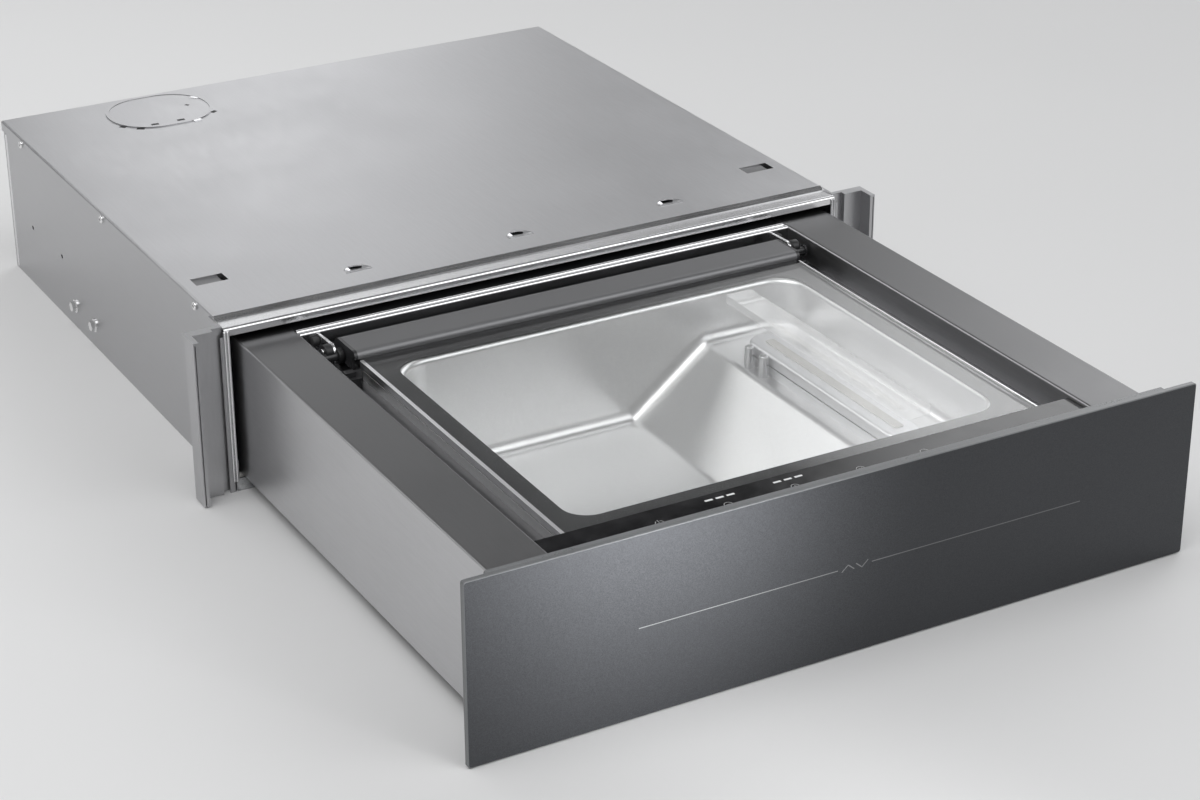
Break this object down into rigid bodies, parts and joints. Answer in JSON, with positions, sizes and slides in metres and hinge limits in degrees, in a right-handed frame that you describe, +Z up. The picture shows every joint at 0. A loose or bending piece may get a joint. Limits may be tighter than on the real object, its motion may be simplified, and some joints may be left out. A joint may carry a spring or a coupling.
{
  "type": "vacuum sealing drawer",
  "caption": "Built-in drawer that seals food bags: pull-out drawer with a glass-lidded vacuum chamber and a lifting sealing bar, in a steel casing with a glass front.",
  "frame": {"origin": "middle of the casing's lower front edge, on the plane of its underside", "axes": "+X to the right as seen from the front, +Y towards the rear, +Z up"},
  "size_m": [0.619, 0.983, 0.1428],
  "materials": {
    "casing_steel": "satin",
    "trim_steel": "satin",
    "fastener_steel": "polished",
    "bracket_aluminium": "satin anodised",
    "rail_steel": "zinc plated",
    "nylon": "moulded",
    "black_plastic": "moulded",
    "drawer_steel": "satin",
    "deck_steel": "satin",
    "chamber_steel": "bead blasted",
    "hinge_aluminium": "dark anodised",
    "bright_metal": "polished",
    "lid_glass": "clear",
    "front_glass": "grey, satin",
    "panel_glass": "black, polished",
    "frame_plastic": "moulded",
    "light_plastic": "clear diffuser",
    "seal_rubber": "matt",
    "counter_rubber": "translucent",
    "bar_aluminium": "satin",
    "heater_tape": "woven tape",
    "pump_aluminium": "cast",
    "motor_paint": "matt",
    "hose_rubber": "matt",
    "core_iron": "varnished",
    "board_green": "coated",
    "valve_brass": "satin"
  },
  "bodies": {
    "casing": {"bottom_panel": "casing_steel", "left_side_panel": "casing_steel", "right_side_panel": "casing_steel", "top_panel": "casing_steel", "knockout_cover": "casing_steel", "front_trim": "trim_steel", "rear_panel": "casing_steel", "cable_gland": "black_plastic", "left_mounting_bracket": "bracket_aluminium", "right_mounting_bracket": "bracket_aluminium", "casing_screws": "fastener_steel", "slide_bolts": "fastener_steel", "slide_brackets": "rail_steel", "slide_guides": "nylon", "outer_rails": "rail_steel", "latch_housing": "black_plastic", "latch_spring": "fastener_steel"},
    "plunger": {"latch_plunger": "nylon"},
    "left_runner": {"left_middle_rail": "rail_steel"},
    "right_runner": {"right_middle_rail": "rail_steel"},
    "drawer": {"drawer_base": "drawer_steel", "inner_rails": "rail_steel", "left_cover": "drawer_steel", "right_cover": "drawer_steel", "deck": "deck_steel", "hinge_trough": "black_plastic", "drawer_rear_wall": "drawer_steel", "front_frame": "frame_plastic", "front_glass": "front_glass", "front_buffers": "seal_rubber", "control_panel": "panel_glass", "control_lights": "light_plastic", "panel_tray": "black_plastic", "control_board": "board_green", "crossbar": "trim_steel", "bay_cover": "black_plastic", "vacuum_chamber": "chamber_steel", "lid_seal": "seal_rubber", "seal_bar_base": "bar_aluminium", "lift_cylinders": "pump_aluminium", "seal_contacts": "bright_metal", "pump": "pump_aluminium", "pump_motor": "motor_paint", "pump_cradle": "rail_steel", "vacuum_hose": "hose_rubber", "transformer": "core_iron", "power_board": "board_green", "vent_valve": "valve_brass", "lid_switch": "black_plastic", "hinge_lugs": "black_plastic"},
    "lid": {"lid": "lid_glass", "hinge_bar": "hinge_aluminium", "hinge_arms": "bright_metal", "hinge_pins": "bright_metal", "counter_bar": "counter_rubber"},
    "seal_bar": {"sealing_bar": "bar_aluminium", "heating_strip": "heater_tape", "lift_rods": "bright_metal"},
    "pump_rotor": {"pump_shaft": "fastener_steel", "cooling_fan": "black_plastic"}
  },
  "joints": [
    {"name": "drawer_slide", "type": "slide", "parent": "casing", "child": "drawer", "axis": [0, -1, 0], "range_m": [-0.427, 0]},
    {"name": "left_runner_slide", "type": "slide", "parent": "casing", "child": "left_runner", "axis": [0, -1, 0], "range_m": [-0.2135, 0]},
    {"name": "right_runner_slide", "type": "slide", "parent": "casing", "child": "right_runner", "axis": [0, -1, 0], "range_m": [-0.2135, 0]},
    {"name": "lid_hinge", "type": "hinge", "parent": "drawer", "child": "lid", "pos_m": [0, -0.044, 0.118], "axis": [-1, 0, 0], "range_deg": [0, 78]},
    {"name": "seal_bar_lift", "type": "slide", "parent": "drawer", "child": "seal_bar", "axis": [0, 0, 1], "range_m": [0, 0.015]},
    {"name": "pump_spin", "type": "hinge", "parent": "drawer", "child": "pump_rotor", "pos_m": [0.193, -0.1, 0.042], "axis": [0, 1, 0], "continuous": true},
    {"name": "latch_push", "type": "slide", "parent": "casing", "child": "plunger", "axis": [0, -1, 0], "range_m": [0, 0.014], "deforming": ["latch_spring"]}
  ],
  "couplings": [
    {"joint": "left_runner_slide", "follows": "drawer_slide", "ratio": 0.5},
    {"joint": "right_runner_slide", "follows": "drawer_slide", "ratio": 0.5}
  ]
}
